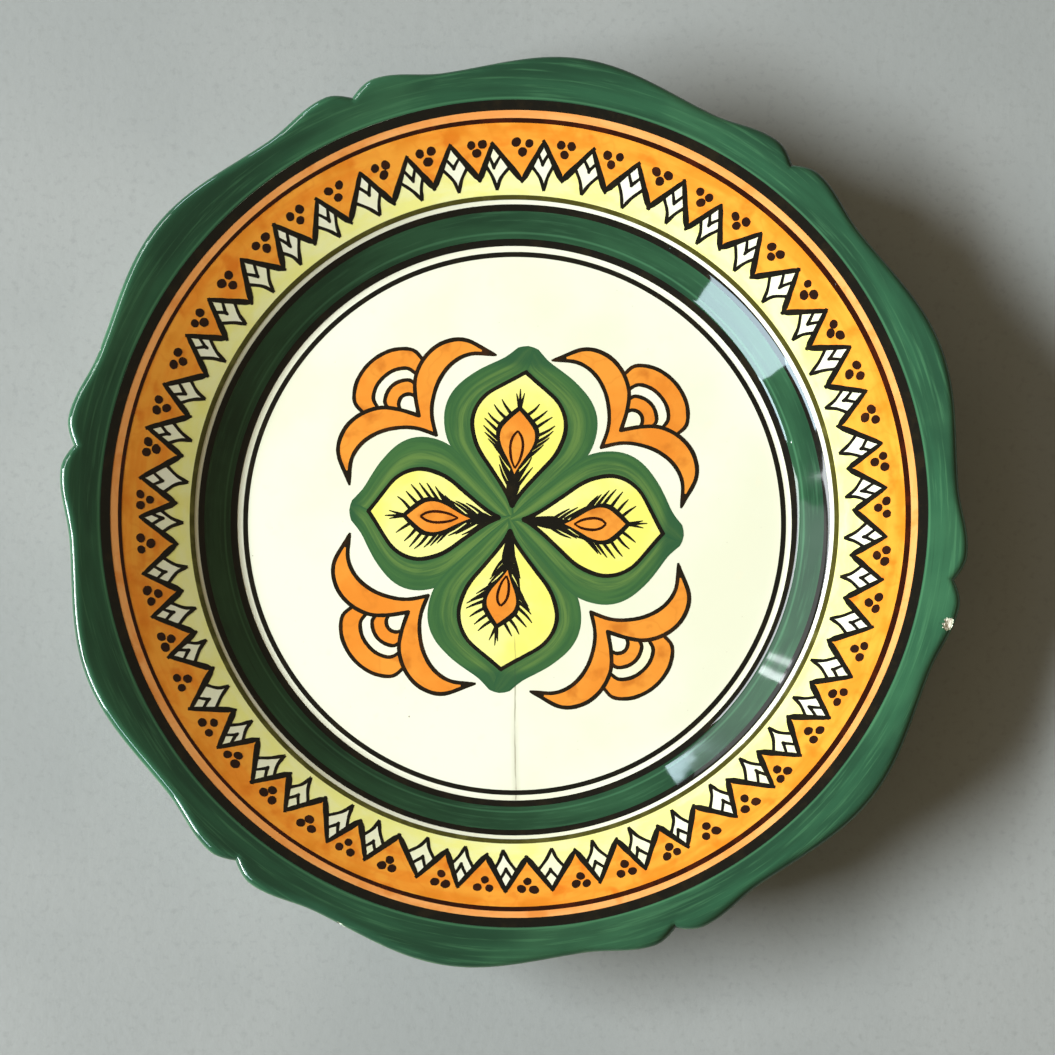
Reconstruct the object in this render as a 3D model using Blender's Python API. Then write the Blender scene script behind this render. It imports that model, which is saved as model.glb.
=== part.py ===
"""A hand painted earthenware plate: a pressed clay body with a foot ring and a scalloped rim, and the fired
glaze over it. Metres, +Z up. The origin is the centre of the foot's resting plane."""

import math

import bmesh
import bpy

# The plate
RIM_RADIUS = 0.1235  # finished lip, midway between its humps and its hollows
RIM_HEIGHT = 0.0265  # where the flange's surface, carried on past the rounded lip, would reach that radius
FLOOR_HEIGHT = 0.0070  # finished food surface of the flat well
WELL_RADIUS = 0.0783  # where the floor turns up into the wall
WALL_RADIUS = 0.0884  # where the wall turns out into the flange
WALL_HEIGHT = 0.0131
FLANGE_THICKNESS = 0.0044  # square to the slope, glaze included
WELL_FILLET = 0.0090
WALL_FILLET = 0.0180
UNDERSIDE_FILLET = 0.0120
LIP_FILLET = 0.0014
LIP_WIDTH = 0.0180  # the outer part of the flange that follows the scallops

# The foot ring, bare clay where it stands on the table
FOOT_OUTER = 0.0765
FOOT_INNER = 0.0725
FOOT_OUTER_ROOT = (0.0788, 0.0034)
FOOT_INNER_ROOT = (0.0711, 0.0027)
FOOT_FILLET = 0.0007
FOOT_ROOT_FILLET = 0.0011
GLAZE_LINE = 0.0018  # height at which the glaze stops on both sides of the foot

# The glaze, and the clear space that keeps it and the clay two separate solids
GLAZE = 0.0003
GAP = 0.0003
COAT = GLAZE + GAP

# The scallops: lobes that meet in sharp notches, each with a small shoulder either side of the notch
LOBES = 6
FIRST_NOTCH = math.radians(51.3)
SCALLOP = (  # degrees from the notch, change in the lip's radius
    (0.0, -0.0017),
    (3.4, 0.0009),
    (12.4, -0.0017),
    (30.0, 0.0016),
)
LOBE_STEPS = (1.7, 1.7, 4.5, 4.5, 5.6, 6.0, 6.0)  # degrees, from a notch to the middle of a lobe

ARC_STEP = math.radians(12)  # the most that one facet of a fillet turns
LIP_ARC_STEP = math.radians(40)
MERGE = 0.00001

FLANGE_SLOPE = math.atan2(RIM_HEIGHT - WALL_HEIGHT, RIM_RADIUS - WALL_RADIUS)


def rounded(corners):
    """The (radius, height) points of a path through corners, each (radius, height, fillet, arc step)."""
    points = [corners[0][:2]]
    for before, corner, after in zip(corners, corners[1:], corners[2:]):
        points += fillet(before[:2], corner[:2], after[:2], *corner[2:])
    return points + [corners[-1][:2]]


def fillet(before, corner, after, radius=0.0, step=ARC_STEP):
    """The points of an arc of this radius in the corner, or the corner itself where the radius is 0."""
    if not radius:
        return [corner]
    heading_in = math.atan2(corner[1] - before[1], corner[0] - before[0])
    heading_out = math.atan2(after[1] - corner[1], after[0] - corner[0])
    turn = (heading_out - heading_in + math.pi) % math.tau - math.pi
    reach = radius * math.tan(abs(turn) / 2)
    side = math.copysign(math.pi / 2, turn)
    centre_r = corner[0] - reach * math.cos(heading_in) + radius * math.cos(heading_in + side)
    centre_z = corner[1] - reach * math.sin(heading_in) + radius * math.sin(heading_in + side)
    count = max(1, math.ceil(abs(turn) / step))
    headings = [heading_in + turn * i / count - side for i in range(count + 1)]
    return [(centre_r + radius * math.cos(a), centre_z + radius * math.sin(a)) for a in headings]


def outset(path, distance):
    """The path moved square to itself by distance, to the left of its direction of travel."""
    moved = []
    for i, (radius, height) in enumerate(path):
        before, after = path[max(i - 1, 0)], path[min(i + 1, len(path) - 1)]
        into = math.atan2(height - before[1], radius - before[0])
        out = math.atan2(after[1] - height, after[0] - radius)
        if i == 0:
            into = out
        if i == len(path) - 1:
            out = into
        half = ((out - into + math.pi) % math.tau - math.pi) / 2
        normal = into + half + math.pi / 2
        reach = distance / math.cos(half)
        moved.append((radius + reach * math.cos(normal), height + reach * math.sin(normal)))
    return moved


def below_flange(radius, height, depth):
    """A point this deep under the flange's surface, square to its slope."""
    return radius + depth * math.sin(FLANGE_SLOPE), height - depth * math.cos(FLANGE_SLOPE)


def covered_clay():
    """The clay from the axis across the face, round the lip and under the flange to the foot's glaze line."""
    wall_top = below_flange(WALL_RADIUS, WALL_HEIGHT, COAT)
    slide_radius = RIM_RADIUS - LIP_WIDTH
    slide_height = WALL_HEIGHT + (slide_radius - WALL_RADIUS) * math.tan(FLANGE_SLOPE)
    clay_thickness = FLANGE_THICKNESS - 2 * COAT
    lip_radius = RIM_RADIUS - COAT
    lip_top = RIM_HEIGHT - COAT * math.tan(FLANGE_SLOPE) - COAT / math.cos(FLANGE_SLOPE)
    lip_bottom = lip_top - clay_thickness / math.cos(FLANGE_SLOPE)
    return rounded(
        [
            (0.0, FLOOR_HEIGHT - COAT),
            (WELL_RADIUS, FLOOR_HEIGHT - COAT, WELL_FILLET),
            (*wall_top, WALL_FILLET),
            below_flange(slide_radius, slide_height, COAT),
            (lip_radius, lip_top, LIP_FILLET, LIP_ARC_STEP),
            (lip_radius, lip_bottom, LIP_FILLET, LIP_ARC_STEP),
            below_flange(slide_radius, slide_height, FLANGE_THICKNESS - COAT),
            (*below_flange(*wall_top, clay_thickness), UNDERSIDE_FILLET),
            (*FOOT_OUTER_ROOT, FOOT_ROOT_FILLET, LIP_ARC_STEP),
            side_of_foot(FOOT_OUTER, FOOT_OUTER_ROOT),
        ]
    )


def side_of_foot(radius, root):
    """The point of one side of the foot that is level with the glaze line."""
    return radius + (root[0] - radius) * GLAZE_LINE / root[1], GLAZE_LINE


def bare_clay():
    """The clay of the foot ring, from one glaze line round the resting face to the other."""
    return rounded(
        [
            side_of_foot(FOOT_OUTER, FOOT_OUTER_ROOT),
            (FOOT_OUTER, 0.0, FOOT_FILLET, LIP_ARC_STEP),
            (FOOT_INNER, 0.0, FOOT_FILLET, LIP_ARC_STEP),
            side_of_foot(FOOT_INNER, FOOT_INNER_ROOT),
        ]
    )


def base_clay():
    """The clay inside the foot ring, from the glaze line to the axis."""
    return rounded(
        [
            side_of_foot(FOOT_INNER, FOOT_INNER_ROOT),
            (*FOOT_INNER_ROOT, FOOT_ROOT_FILLET, LIP_ARC_STEP),
            (0.0, FOOT_INNER_ROOT[1]),
        ]
    )


def scallop(angle):
    """The change in the lip's radius at this angle round the plate."""
    lobe = math.tau / LOBES
    from_notch = (angle - FIRST_NOTCH) % lobe
    from_notch = math.degrees(min(from_notch, lobe - from_notch))
    for (start, low), (end, high) in zip(SCALLOP, SCALLOP[1:]):
        if from_notch <= end:
            break
    share = (from_notch - start) / (end - start)
    if start == 0.0:
        eased = math.sin(share * math.pi / 2)  # leaves the notch at a slant, so the notch is sharp
    else:
        eased = (1 - math.cos(share * math.pi)) / 2
    return low + (high - low) * eased


def slide_lip(bm):
    """Moves the lip along the slope of the flange, out to the humps and in to the notches."""
    for vert in bm.verts:
        radius = math.hypot(vert.co.x, vert.co.y)
        if radius < RIM_RADIUS - LIP_WIDTH / 2:
            continue
        change = scallop(math.atan2(vert.co.y, vert.co.x))
        vert.co.x += vert.co.x / radius * change
        vert.co.y += vert.co.y / radius * change
        vert.co.z += change * math.tan(FLANGE_SLOPE)


def turned(name, profile, material, collection):
    """A solid of a profile that starts and ends on the axis, spun in steps that land on the scallops' points."""
    bm = bmesh.new()
    cos, sin = math.cos(FIRST_NOTCH), math.sin(FIRST_NOTCH)
    verts = [bm.verts.new((radius * cos, radius * sin, height)) for radius, height in profile]
    geom = verts + [bm.edges.new(pair) for pair in zip(verts, verts[1:])]
    for step in (LOBE_STEPS + LOBE_STEPS[::-1]) * LOBES:
        spun = bmesh.ops.spin(bm, geom=geom, axis=(0, 0, 1), cent=(0, 0, 0), angle=math.radians(step), steps=1)
        geom = spun["geom_last"]
    bmesh.ops.remove_doubles(bm, verts=bm.verts, dist=MERGE)
    slide_lip(bm)
    bmesh.ops.recalc_face_normals(bm, faces=bm.faces)
    mesh = bpy.data.meshes.new(name)
    bm.to_mesh(mesh)
    bm.free()
    mesh.shade_smooth()
    mesh.set_sharp_from_angle(angle=math.radians(35))
    mesh.materials.append(material)
    obj = bpy.data.objects.new(name, mesh)
    collection.objects.link(obj)
    return obj


def plain_material(name, color, roughness, coat):
    material = bpy.data.materials.new(name)
    material.use_nodes = True
    shader = material.node_tree.nodes["Principled BSDF"]
    shader.inputs["Base Color"].default_value = (*color, 1.0)
    shader.inputs["Roughness"].default_value = roughness
    shader.inputs["Metallic"].default_value = 0.0
    shader.inputs["Coat Weight"].default_value = coat
    material.diffuse_color = (*color, 1.0)
    return material


def clear_scene():
    for obj in list(bpy.data.objects):
        bpy.data.objects.remove(obj, do_unlink=True)


def build():
    clear_scene()
    plate = bpy.data.collections.new("hand_painted_plate")
    bpy.context.scene.collection.children.link(plate)

    face = covered_clay()
    base = base_clay()
    clay_profile = face + bare_clay()[1:] + base[1:]
    face_profile = outset(face, COAT) + outset(face, GAP)[::-1]
    base_profile = outset(base, GAP)[::-1] + outset(base, COAT)

    clay = plain_material("fired_clay", (0.74, 0.67, 0.54), 0.85, 0.0)
    face_glaze = plain_material("cream_glaze", (0.86, 0.84, 0.70), 0.12, 1.0)
    base_glaze = plain_material("base_glaze", (0.83, 0.80, 0.67), 0.16, 1.0)

    turned("clay_body", clay_profile, clay, plate)
    turned("outer_glaze", face_profile, face_glaze, plate)
    turned("base_glaze", base_profile, base_glaze, plate)


build()
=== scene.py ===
"""The looks of the hand painted earthenware plate: its clay, its glaze and every layer of paint.

All shapes are worked out in millimetres and turned into metres when a mesh is made. Angles run
anticlockwise from +X, and paint is drawn flat, in plan, then laid onto the curved face.
"""

import math
import random
from functools import partial

import bpy
import numpy as np
from mathutils import Matrix, Vector, noise
from mathutils.geometry import delaunay_2d_cdt


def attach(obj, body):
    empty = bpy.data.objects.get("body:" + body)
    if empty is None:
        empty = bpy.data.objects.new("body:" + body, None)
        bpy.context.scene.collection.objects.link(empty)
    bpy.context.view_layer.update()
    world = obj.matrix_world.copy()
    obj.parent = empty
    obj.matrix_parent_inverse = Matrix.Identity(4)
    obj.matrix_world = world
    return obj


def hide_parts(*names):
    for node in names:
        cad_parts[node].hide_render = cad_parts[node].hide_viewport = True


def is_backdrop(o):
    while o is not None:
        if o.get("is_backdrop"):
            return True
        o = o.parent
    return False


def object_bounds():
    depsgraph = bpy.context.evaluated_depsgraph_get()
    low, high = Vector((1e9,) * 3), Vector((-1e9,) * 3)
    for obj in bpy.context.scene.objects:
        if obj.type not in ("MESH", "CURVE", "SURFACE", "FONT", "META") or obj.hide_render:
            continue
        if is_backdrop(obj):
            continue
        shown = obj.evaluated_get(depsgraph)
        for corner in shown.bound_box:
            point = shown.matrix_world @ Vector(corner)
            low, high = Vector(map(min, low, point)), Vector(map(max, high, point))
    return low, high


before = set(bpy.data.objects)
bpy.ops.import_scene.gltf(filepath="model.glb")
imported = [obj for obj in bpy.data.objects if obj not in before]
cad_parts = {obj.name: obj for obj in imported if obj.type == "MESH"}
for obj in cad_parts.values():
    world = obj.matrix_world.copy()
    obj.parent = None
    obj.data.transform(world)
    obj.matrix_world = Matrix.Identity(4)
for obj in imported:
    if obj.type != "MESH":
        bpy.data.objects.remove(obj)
cad_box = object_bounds()

MM = 0.001

# The turned shape, as packed
RIM_RADIUS = 123.5
RIM_HEIGHT = 26.5
FLOOR_HEIGHT = 7.0
WELL_RADIUS = 78.3
WALL_RADIUS = 88.4
WALL_HEIGHT = 13.1
FLANGE_THICKNESS = 4.4
FLANGE_SLOPE = math.atan2(RIM_HEIGHT - WALL_HEIGHT, RIM_RADIUS - WALL_RADIUS)
WELL_FILLET = 9.0
WALL_FILLET = 18.0
UNDERSIDE_FILLET = 12.0
LIP_FILLET = 1.4
FOOT_OUTER = 76.5
FOOT_INNER = 72.5
FOOT_OUTER_ROOT = (78.8, 3.4)
FOOT_INNER_ROOT = (71.1, 2.7)
FOOT_FILLET = 0.7
FOOT_ROOT_FILLET = 1.1
GLAZE_LINE = 1.8
COAT = 0.6  # from the packed clay to the finished glaze
GLAZE_INSIDE = 0.3
CLAY_OUTSIDE = 0.25  # the clay is brought up close under the glaze, so that a chip shows it

# The scallops
LOBES = 6
FIRST_NOTCH = 51.3
SCALLOP = ((0.0, -1.7), (3.4, 0.9), (12.4, -1.7), (30.0, 1.6))  # degrees from a notch, change in radius
SLIDE_START = 114.0
SLIDE_END = 121.0
CHIP_START = 120.0  # chips reach no further in than this
CHIP_SPAN = 0.45  # the spacing of the profile's points from there outward

# How finely things are cut
ARC_STEP = 1.0
PATH_STEP = 0.25
RING_ANGLES = np.arange(480) * 360 / 480
LIP_COLUMNS = 720

# Paint: heights of the layers over the glaze, and how deep their undersides are sunk into it
UNDER = -0.04
BASE_LAYER = 0.020
SECOND_LAYER = 0.030
THIRD_LAYER = 0.040
LINE_LAYER = 0.050
FINE_LAYER = 0.056

# Radii of the painted rings
WELL_LINE = (74.85, 76.25)
INNER_BLACK = (77.8, 79.6)
GREEN_WALL = (79.4, 86.45)
OUTER_BLACK = (86.3, 87.85)
OLIVE_LINE = (88.9, 90.15)
YELLOW_START = 89.95
ORANGE_END = 108.45
DARK_LINE = 108.3
LIGHT_ORANGE = (108.5, 110.95)
RIM_BLACK = (110.75, 113.3)
GREEN_START = 113.1
GREEN_TURN_UNDER = 3.6  # how far the green runs down the back of the lip
GREEN_WAVER = 1.4  # the most that its edge there strays

# The zigzag
ZIGZAGS = 49
FIRST_PEAK = 4.5
PEAK_RADIUS = 103.1
VALLEY_RADIUS = 93.7
LANCE_TIP = 91.5
DOT_OUTER = 102.9
DOT_INNER = 100.7

# The flower: heading of each petal in degrees, its length, the leaf's length, its left and right half
# widths, the heart's root and tip (along, across), its half width, and the two ends of its loop
FLOWER_CENTRE = (-1.0, 1.5)
PETALS = (
    (84.1, 48.6, 41.2, 13.5, 12.7, (12.4, 0.3), (30.2, 0.6), 4.9, 14.0, 24.6),
    (177.1, 45.4, 40.0, 12.7, 12.5, (11.4, 0.7), (29.2, 0.7), 4.3, 14.8, 25.4),
    (-93.8, 49.2, 42.5, 14.7, 12.8, (14.6, 0.1), (29.8, -1.9), 4.1, 16.2, 24.8),
    (-5.8, 48.8, 42.9, 14.6, 13.4, (15.2, -0.1), (32.2, 1.6), 4.6, 17.9, 26.8),
)
PETAL_WIDTH = 21.6
LEAF_SHAPE = (
    (0.08, 0.0), (0.14, 0.09), (0.22, 0.26), (0.33, 0.53), (0.46, 0.84), (0.60, 0.995), (0.70, 0.98),
    (0.78, 0.87), (0.84, 0.71), (0.90, 0.45), (0.95, 0.22), (1.0, 0.0),
)
PETAL_SHAPE = (
    (0.0, 0.02), (0.05, 0.16), (0.12, 0.33), (0.226, 0.56), (0.363, 0.85), (0.46, 0.965), (0.57, 1.0),
    (0.66, 0.96), (0.74, 0.85), (0.82, 0.655), (0.87, 0.485), (0.92, 0.295), (0.965, 0.18), (0.99, 0.115),
    (1.0, 0.0),
)
HEART_SHAPE = (
    (0.0, 0.0), (0.10, 0.17), (0.24, 0.46), (0.38, 0.77), (0.50, 0.95), (0.60, 1.0), (0.72, 0.90),
    (0.86, 0.50), (1.0, 0.0),
)

# The corner ornaments: heading and shift outward of each, and one half of the shape, along and across
ORNAMENTS = ((131.5, 0.3), (41.2, -0.4), (-49.2, 0.0), (-140.2, -1.3))
CRESCENT_TIP = (39.3, 27.0)
CRESCENT_OUTER = (
    (40.2, 0.0), (45.2, 3.1), (49.2, 6.9), (51.4, 12.6), (51.0, 18.6), (47.4, 23.9),
    CRESCENT_TIP,
)
CRESCENT_INNER = (
    (33.0, 0.0), (37.6, 2.6), (41.0, 6.0), (43.9, 11.0), (45.0, 16.8), (43.6, 22.2),
    CRESCENT_TIP,
)
LOBE_ARCS = (
    ((50.9, 11.2), (55.2, 10.9), (59.0, 6.4), (60.4, 0.0)),
    ((49.3, 7.2), (52.2, 6.4), (54.2, 3.5), (54.8, 0.0)),
    ((47.4, 5.1), (49.4, 4.6), (50.9, 2.4), (51.4, 0.0)),
    ((44.8, 2.8), (46.1, 2.3), (47.0, 1.2), (47.3, 0.0)),
)
EDGE_POINTS = 34  # in the outline of each lobe and of each side of a crescent

# Daylight from the left: azimuths and elevations in degrees, radiance and colour. All but the window are
# seen in reflections only.
WHITE_SKY = (0.92, 0.98, 1.0)
BLUE_SKY = (0.70, 0.89, 1.0)
PANES = (
    ("window", (160, 204), (22, 33), 62.0, WHITE_SKY),
    ("fanlight_front", (198, 221), (36, 47), 15.0, BLUE_SKY),
    ("fanlight_middle", (183, 198), (42, 48), 20.0, BLUE_SKY),
    ("fanlight_back", (126, 177), (40, 47), 15.0, WHITE_SKY),
    ("gap_low", (138.6, 140.0), (24, 32), 18.0, WHITE_SKY),
    ("gap_high", (141.4, 142.6), (24, 32), 15.0, WHITE_SKY),
    ("gap_back", (116, 126), (20, 28), 15.0, BLUE_SKY),
    ("haze", (120, 196), (26, 37), 1.8, WHITE_SKY),
)
PANE_DISTANCE = 6.0  # metres
FLOOR_HALF = 3.0  # metres, half the floor's width
ROOM_COLOR = (1.0, 0.82, 0.52)
ROOM_RADIANCE = 0.21

# Damage: angle, how far out and up from the lip its scoop is centred, and the scoop's radius. Glaze and the
# two sides of the green paint are sunk this deep under the bare clay of a scoop.
CHIP_DEPTHS = (0.22, 0.26, 0.30)
CHIPS = ((-14.6, -1.30, 3.50, 2.20), (247.0, 1.15, 0.75, 1.55), (158.5, 1.2, 0.9, 1.6))


# The turned profile
def rounded(corners):
    """The (radius, height) points of a path through (radius, height[, fillet]) corners."""
    points = [corners[0][:2]]
    for before, corner, after in zip(corners, corners[1:], corners[2:]):
        points += fillet(before[:2], corner[:2], after[:2], corner[2] if len(corner) > 2 else 0.0)
    return points + [corners[-1][:2]]


def fillet(before, corner, after, radius):
    """The points of an arc of this radius in the corner, or the corner itself where the radius is 0."""
    if not radius:
        return [corner]
    heading_in = math.atan2(corner[1] - before[1], corner[0] - before[0])
    heading_out = math.atan2(after[1] - corner[1], after[0] - corner[0])
    turn = (heading_out - heading_in + math.pi) % math.tau - math.pi
    reach = radius * math.tan(abs(turn) / 2)
    side = math.copysign(math.pi / 2, turn)
    centre_r = corner[0] - reach * math.cos(heading_in) + radius * math.cos(heading_in + side)
    centre_z = corner[1] - reach * math.sin(heading_in) + radius * math.sin(heading_in + side)
    count = max(2, math.ceil(abs(math.degrees(turn)) / ARC_STEP))
    headings = [heading_in + turn * i / count - side for i in range(count + 1)]
    return [(centre_r + radius * math.cos(a), centre_z + radius * math.sin(a)) for a in headings]


def normals_of(path):
    """Unit normals to the left of a path of points."""
    along = np.gradient(path, axis=0)
    along /= np.linalg.norm(along, axis=1)[:, None]
    return np.stack((-along[:, 1], along[:, 0]), axis=1)


def lengths(path):
    """The length of a path up to each of its points."""
    return np.concatenate(([0], np.cumsum(np.linalg.norm(np.diff(path, axis=0), axis=1))))


def even_count(path, count):
    """The path as this many evenly spaced points."""
    length = lengths(path)
    at = np.linspace(0, length[-1], count)
    return np.stack([np.interp(at, length, path[:, axis]) for axis in (0, 1)], axis=1)


def resampled(path):
    """The path in even steps."""
    path = np.asarray(path, float)
    return even_count(path, max(2, math.ceil(lengths(path)[-1] / PATH_STEP)) + 1)


def thinned(path, turn=3.0, span=4.0):
    """The points of an even path that its bends need, no further apart than span, or than a chip needs."""
    kept, last = [0], 0
    heading = np.unwrap(np.arctan2(*np.gradient(path, axis=0).T[::-1]))
    for i in range(1, len(path) - 1):
        bent = abs(heading[i] - heading[last]) > math.radians(turn)
        limit = CHIP_SPAN if path[i, 0] > CHIP_START else span
        if bent or np.linalg.norm(path[i] - path[last]) > limit:
            kept.append(i)
            last = i
    return path[kept + [len(path) - 1]]


def below_flange(radius, height, depth):
    return radius + depth * math.sin(FLANGE_SLOPE), height - depth * math.cos(FLANGE_SLOPE)


def side_of_foot(radius, root):
    return radius + (root[0] - radius) * GLAZE_LINE / root[1], GLAZE_LINE


def covered_clay():
    """The packed clay from the axis across the face, round the lip and under the flange to the glaze line."""
    wall_top = below_flange(WALL_RADIUS, WALL_HEIGHT, COAT)
    clay_thickness = FLANGE_THICKNESS - 2 * COAT
    lip_radius = RIM_RADIUS - COAT
    lip_top = RIM_HEIGHT - COAT * math.tan(FLANGE_SLOPE) - COAT / math.cos(FLANGE_SLOPE)
    lip_bottom = lip_top - clay_thickness / math.cos(FLANGE_SLOPE)
    return rounded(
        [
            (0.0, FLOOR_HEIGHT - COAT),
            (WELL_RADIUS, FLOOR_HEIGHT - COAT, WELL_FILLET),
            (*wall_top, WALL_FILLET),
            (lip_radius, lip_top, LIP_FILLET),
            (lip_radius, lip_bottom, LIP_FILLET),
            (*below_flange(*wall_top, clay_thickness), UNDERSIDE_FILLET),
            (*FOOT_OUTER_ROOT, FOOT_ROOT_FILLET),
            side_of_foot(FOOT_OUTER, FOOT_OUTER_ROOT),
        ]
    )


def bare_clay():
    """The clay of the foot ring, from one glaze line round the resting face to the other."""
    return rounded(
        [
            side_of_foot(FOOT_OUTER, FOOT_OUTER_ROOT),
            (FOOT_OUTER, 0.0, FOOT_FILLET),
            (FOOT_INNER, 0.0, FOOT_FILLET),
            side_of_foot(FOOT_INNER, FOOT_INNER_ROOT),
        ]
    )


def base_clay():
    """The clay inside the foot ring, from the glaze line to the axis."""
    root = (*FOOT_INNER_ROOT, FOOT_ROOT_FILLET)
    return rounded([side_of_foot(FOOT_INNER, FOOT_INNER_ROOT), root, (0.0, FOOT_INNER_ROOT[1])])


def outset(path, distance):
    return path + normals_of(path) * distance


CLAY_PATH = resampled(covered_clay())
BASE_PATH = resampled(base_clay())
FACE_PATH = resampled(outset(CLAY_PATH, COAT))
FACE_PATH[0, 0] = 0.0
FACE_NORMALS = normals_of(FACE_PATH)
LIP = int(np.argmax(FACE_PATH[:, 0]))  # the outermost point of the finished profile


def face_at(radius):
    """Height, and the outward and upward parts of the normal, of the finished face at these radii."""
    path, normals = FACE_PATH[: LIP + 1], FACE_NORMALS[: LIP + 1]
    height = np.interp(radius, path[:, 0], path[:, 1])
    outward = np.interp(radius, path[:, 0], normals[:, 0])
    upward = np.interp(radius, path[:, 0], normals[:, 1])
    scale = 1 / np.hypot(outward, upward)
    return height, outward * scale, upward * scale


def scallop(angle):
    """The change in the lip's radius at these angles."""
    lobe = 360 / LOBES
    from_notch = (np.asarray(angle) - FIRST_NOTCH) % lobe
    from_notch = np.minimum(from_notch, lobe - from_notch)
    change = np.zeros_like(from_notch)
    for (start, low), (end, high) in zip(SCALLOP, SCALLOP[1:]):
        share = np.clip((from_notch - start) / (end - start), 0, 1)
        eased = np.sin(share * math.pi / 2) if start == 0.0 else (1 - np.cos(share * math.pi)) / 2
        change = np.where(from_notch >= start, low + (high - low) * eased, change)
    return change


def spun(profile, angles):
    """A grid of points, [row, column, axis], of a profile turned to these angles, with its lip scalloped."""
    radius = np.repeat(profile[:, :1], len(angles), axis=1)
    height = np.repeat(profile[:, 1:], len(angles), axis=1)
    share = np.clip((radius - SLIDE_START) / (SLIDE_END - SLIDE_START), 0, 1)
    change = share * scallop(angles)[None, :]
    radius = radius + change
    height = height + change * math.tan(FLANGE_SLOPE)
    turn = np.radians(angles)[None, :]
    return np.stack((radius * np.cos(turn), radius * np.sin(turn), height), axis=2)


def lip_angles():
    """Even angles with one on each notch, and closer ones across each chip."""
    angles = set(np.round(FIRST_NOTCH + np.arange(LIP_COLUMNS) * 360 / LIP_COLUMNS, 4) % 360)
    for angle, _, _, radius in CHIPS:
        reach = math.degrees(radius / RIM_RADIUS) * 0.8
        angles |= set(np.round(angle + np.arange(-reach, reach, 0.09), 4) % 360)
    return np.array(sorted(angles))


def chipped(points, depth=0.0):
    """The points, with those inside a chip's scoop pushed out to its lumpy wall, and depth beyond it."""
    points = points.copy()
    flat = points.reshape(-1, 3)
    lip_r, lip_z = FACE_PATH[LIP]
    for angle, out, up, radius in CHIPS:
        change = float(scallop(angle))
        centre = np.append(polar(lip_r + change + out, angle), lip_z + change * math.tan(FLANGE_SLOPE) + up)
        away = flat - centre
        distance = np.linalg.norm(away, axis=1)
        for i in np.nonzero(distance < radius * 1.25)[0]:
            unit = away[i] / distance[i]
            coarse, fine = noise.noise(Vector(unit * 2.2 + angle)), noise.noise(Vector(unit * 7))
            wall = radius * (1 + 0.10 * coarse + 0.04 * fine)
            if distance[i] < wall:
                flat[i] = centre + unit * (wall + depth)
    return points


# Meshes
def make_piece(name, points, faces, material, slot, normals=None, attributes=()):
    mesh = bpy.data.meshes.new(name)
    mesh.from_pydata((np.asarray(points) * MM).tolist(), [], faces)
    mesh.materials.append(material)
    mesh.shade_smooth()
    for key, values in attributes:
        layer = mesh.attributes.new(key, "FLOAT_VECTOR", "POINT")
        layer.data.foreach_set("vector", np.asarray(values, float).ravel())
    if normals is None:
        mesh.set_sharp_from_angle(angle=math.radians(40))
    else:
        mesh.normals_split_custom_set(normals)
    piece = bpy.data.objects.new(name, mesh)
    bpy.context.scene.collection.objects.link(piece)
    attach(piece, "root")
    return piece


def grid_faces(rows, columns, start=0, closed=True):
    """Quads of a grid of points numbered row by row, closed round its columns."""
    row, column = np.indices((rows - 1, columns if closed else columns - 1))
    after = (column + 1) % columns
    this, following = row * columns + start, (row + 1) * columns + start
    corners = (this + column, this + after, following + after, following + column)
    return np.stack(corners, axis=2).reshape(-1, 4).tolist()


def turned_solid(name, profile, angles, material, slot, change):
    """A closed solid of a profile that starts and ends on the axis."""
    grid = change(spun(profile[1:-1], angles))
    rows, columns = grid.shape[:2]
    poles = [(0.0, 0.0, profile[0, 1]), (0.0, 0.0, profile[-1, 1])]
    points = np.concatenate((grid.reshape(-1, 3), poles))
    faces = [face[::-1] for face in grid_faces(rows, columns)]
    last = (rows - 1) * columns
    for i in range(columns):
        after = (i + 1) % columns
        faces.append([rows * columns, i, after])
        faces.append([rows * columns + 1, last + after, last + i])
    return make_piece(name, points, faces, material, slot)


def film_shell(points, faces, top, bottom=UNDER):
    """A closed layer over the face: its points, faces and loop normals. Points are flat (x, y)."""
    points = np.asarray(points, float)
    radius = np.maximum(np.hypot(points[:, 0], points[:, 1]), 1e-9)
    height, outward, upward = face_at(radius)
    normal = np.stack((points[:, 0] / radius * outward, points[:, 1] / radius * outward, upward), axis=1)
    on_face = np.column_stack((points, height))
    shell = np.concatenate((on_face + normal * top, on_face + normal * bottom))
    count = len(points)
    used = dict.fromkeys((a, b) for face in faces for a, b in zip(face, face[1:] + face[:1]))
    sides = [[b, a, a + count, b + count] for a, b in used if (b, a) not in used]
    under = [[i + count for i in reversed(face)] for face in faces]
    loop_normals = [normal[i] for face in faces for i in face]
    loop_normals += [-normal[i - count] for face in under for i in face]
    for a, b, c, d in sides:
        flat = np.cross(shell[b] - shell[a], shell[c] - shell[b])
        loop_normals += [flat / max(np.linalg.norm(flat), 1e-12)] * 4
    return shell, faces + under + sides, loop_normals


def counter_clockwise(shape):
    shape = np.asarray(shape, float)
    x, y = shape[:, 0], shape[:, 1]
    return shape if np.sum(x * np.roll(y, -1) - np.roll(x, -1) * y) > 0 else shape[::-1]


def covered(places, shapes):
    """Whether each (x, y) place lies inside any of these flat shapes."""
    inside = np.zeros(len(places), bool)
    for shape in shapes:
        near = np.all((places > shape.min(axis=0)) & (places < shape.max(axis=0)), axis=1) & ~inside
        x, y = places[near].T[:, :, None]
        (x0, y0), (x1, y1) = shape.T, np.roll(shape, -1, axis=0).T
        rise = np.where(y1 == y0, 1.0, y1 - y0)
        crossed = ((y0 > y) != (y1 > y)) & (x < x0 + (y - y0) * (x1 - x0) / rise)
        inside[near] = crossed.sum(axis=1) % 2 == 1
    return inside


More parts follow.
